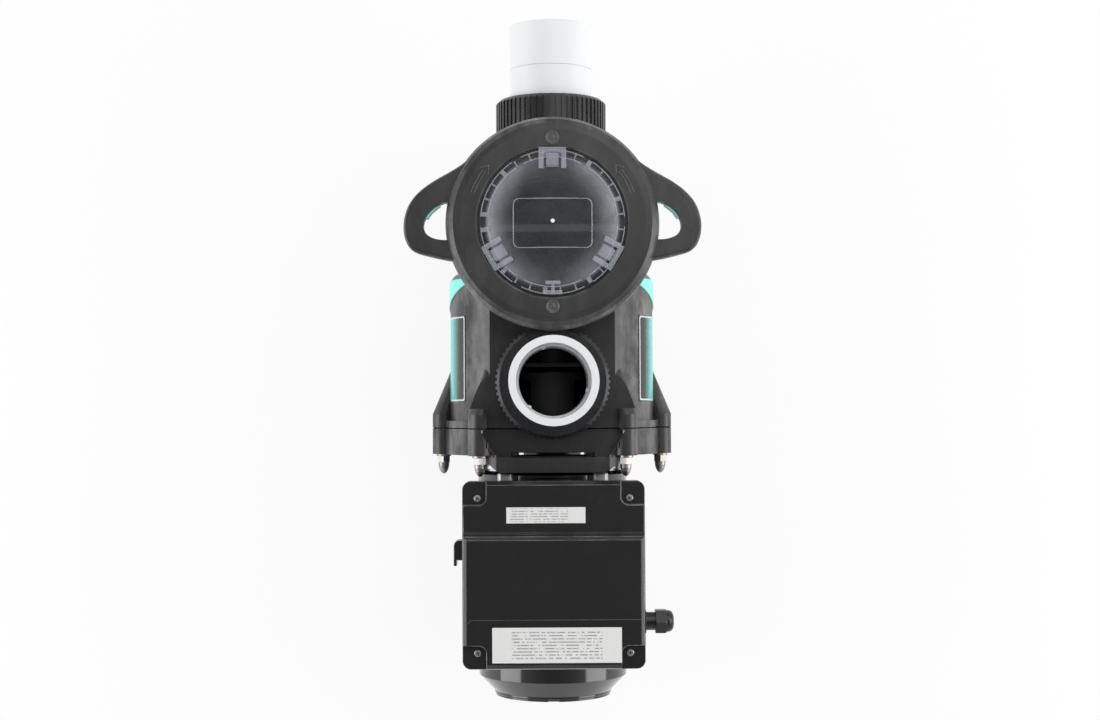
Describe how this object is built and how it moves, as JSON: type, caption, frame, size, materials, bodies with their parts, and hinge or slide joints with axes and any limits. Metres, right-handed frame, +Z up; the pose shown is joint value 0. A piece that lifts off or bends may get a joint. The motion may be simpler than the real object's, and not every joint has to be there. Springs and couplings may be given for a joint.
{
  "type": "pool pump",
  "caption": "Self-priming pool pump with a twist-lock see-through strainer lid, union ports at front and top, a fan-cooled motor and a drive box.",
  "frame": {"origin": "on the floor, at the middle of the four mounting holes of the base and straight below the outlet port", "axes": "+Z up along the outlet port, +Y from the suction union to the motor, +X to the side with the cable clip"},
  "size_m": [0.3064, 0.7365, 0.4],
  "materials": {
    "pot_plastic": "matt glass-filled moulding",
    "clear_plastic": "clear moulding",
    "basket_plastic": "plain moulding",
    "nut_plastic": "satin moulding",
    "white_plastic": "smooth white moulding",
    "teal_plastic": "satin moulding",
    "badge_film": "printed film",
    "label_film": "printed film",
    "steel": "plain stainless",
    "motor_paint": "gloss paint on cast aluminium",
    "box_plastic": "semi-gloss moulding",
    "rubber_black": "moulded rubber",
    "core_steel": "stacked sheet steel",
    "copper": "enamelled wire",
    "ceramic_white": "lapped ceramic",
    "board_green": "coated board",
    "part_grey": "moulded cases",
    "inner_plastic": "plain moulding"
  },
  "bodies": {
    "pump": {"strainer_pot": "pot_plastic", "strainer_basket": "basket_plastic", "clear_lid": "clear_plastic", "lid_o_ring": "rubber_black", "suction_o_ring": "rubber_black", "outlet_o_ring": "rubber_black", "volute_housing": "pot_plastic", "inlet_o_ring": "rubber_black", "housing_gasket": "rubber_black", "seal_plate": "pot_plastic", "flange_studs": "steel", "flange_washers": "steel", "cap_nuts": "steel", "diffuser": "inner_plastic", "seal_seat": "ceramic_white", "front_bell": "motor_paint", "motor_body": "motor_paint", "rear_bell": "motor_paint", "fan_cover": "motor_paint", "fan_cover_screws": "steel", "motor_bolts": "steel", "stator_core": "core_steel", "stator_windings": "copper", "bearing_outer_rings": "steel", "drive_base": "box_plastic", "drive_gasket": "rubber_black", "drive_cover": "box_plastic", "cover_screws": "steel", "control_board": "board_green", "board_parts": "part_grey", "rating_label": "label_film", "notice_label": "label_film", "gland_body": "nut_plastic", "gland_locknut": "nut_plastic", "cable_clip": "box_plastic", "side_badges": "badge_film", "shoulder_trims": "teal_plastic", "pump_base": "pot_plastic", "motor_foot": "pot_plastic"},
    "lock_ring": {"lid_ring": "pot_plastic", "grip_pads": "teal_plastic"},
    "suction_stub": {"suction_tailpiece": "white_plastic"},
    "suction_nut_body": {"suction_nut": "nut_plastic"},
    "outlet_stub": {"outlet_tailpiece": "white_plastic"},
    "outlet_nut_body": {"outlet_nut": "nut_plastic"},
    "rotor": {"motor_shaft": "steel", "rotor_core": "core_steel", "impeller": "inner_plastic", "impeller_screw": "steel", "seal_head": "steel", "bearing_inner_rings": "steel", "cooling_fan": "inner_plastic"},
    "ball_sets": {"bearing_balls": "steel"},
    "pot_drain_seal": {"pot_drain_o_ring": "rubber_black"},
    "pot_drain": {"pot_drain_plug": "pot_plastic"},
    "volute_drain_seal": {"volute_drain_o_ring": "rubber_black"},
    "volute_drain": {"volute_drain_plug": "pot_plastic"},
    "cable_seal": {"gland_seal": "rubber_black"},
    "cable_nut": {"gland_nut": "nut_plastic"}
  },
  "joints": [
    {"name": "lid_ring_turn", "type": "hinge", "parent": "pump", "child": "lock_ring", "pos_m": [0, -0.163, 0.326], "axis": [0, 0, 1], "range_deg": [0, 45]},
    {"name": "shaft_spin", "type": "hinge", "parent": "pump", "child": "rotor", "pos_m": [0, 0.19, 0.165], "axis": [0, 1, 0], "continuous": true},
    {"name": "ball_set_spin", "type": "hinge", "parent": "pump", "child": "ball_sets", "pos_m": [0, 0.19, 0.165], "axis": [0, 1, 0], "continuous": true},
    {"name": "suction_nut_travel", "type": "slide", "parent": "pump", "child": "suction_stub", "axis": [0, -1, 0], "range_m": [0, 0.018]},
    {"name": "suction_nut_turn", "type": "hinge", "parent": "suction_stub", "child": "suction_nut_body", "pos_m": [0, -0.29, 0.205], "axis": [0, -1, 0], "range_deg": [0, 1080]},
    {"name": "outlet_nut_travel", "type": "slide", "parent": "pump", "child": "outlet_stub", "axis": [0, 0, 1], "range_m": [0, 0.018]},
    {"name": "outlet_nut_turn", "type": "hinge", "parent": "outlet_stub", "child": "outlet_nut_body", "pos_m": [0, 0, 0.28], "axis": [0, 0, 1], "range_deg": [0, 1080]},
    {"name": "pot_drain_travel", "type": "slide", "parent": "pump", "child": "pot_drain_seal", "axis": [0, -1, 0], "range_m": [0, 0.016]},
    {"name": "pot_drain_turn", "type": "hinge", "parent": "pot_drain_seal", "child": "pot_drain", "pos_m": [0.038, -0.253, 0.088], "axis": [0, -1, 0], "range_deg": [0, 2880]},
    {"name": "volute_drain_travel", "type": "slide", "parent": "pump", "child": "volute_drain_seal", "axis": [1, 0, 0], "range_m": [0, 0.016]},
    {"name": "volute_drain_turn", "type": "hinge", "parent": "volute_drain_seal", "child": "volute_drain", "pos_m": [0.104, 0.018, 0.088], "axis": [1, 0, 0], "range_deg": [0, 2880]},
    {"name": "gland_nut_travel", "type": "slide", "parent": "pump", "child": "cable_seal", "axis": [-1, 0, 0], "range_m": [0, 0.003]},
    {"name": "gland_nut_turn", "type": "hinge", "parent": "cable_seal", "child": "cable_nut", "pos_m": [-0.11, 0.253, 0.268], "axis": [-1, 0, 0], "range_deg": [0, 720]}
  ],
  "couplings": [
    {"joint": "ball_set_spin", "follows": "shaft_spin", "ratio": 0.3807},
    {"joint": "suction_nut_travel", "follows": "suction_nut_turn", "m_per_rad": 0.00095493},
    {"joint": "outlet_nut_travel", "follows": "outlet_nut_turn", "m_per_rad": 0.00095493},
    {"joint": "pot_drain_turn", "follows": "pot_drain_travel", "rad_per_m": 3141.6},
    {"joint": "volute_drain_turn", "follows": "volute_drain_travel", "rad_per_m": 3141.6},
    {"joint": "gland_nut_turn", "follows": "gland_nut_travel", "rad_per_m": 4188.8}
  ]
}
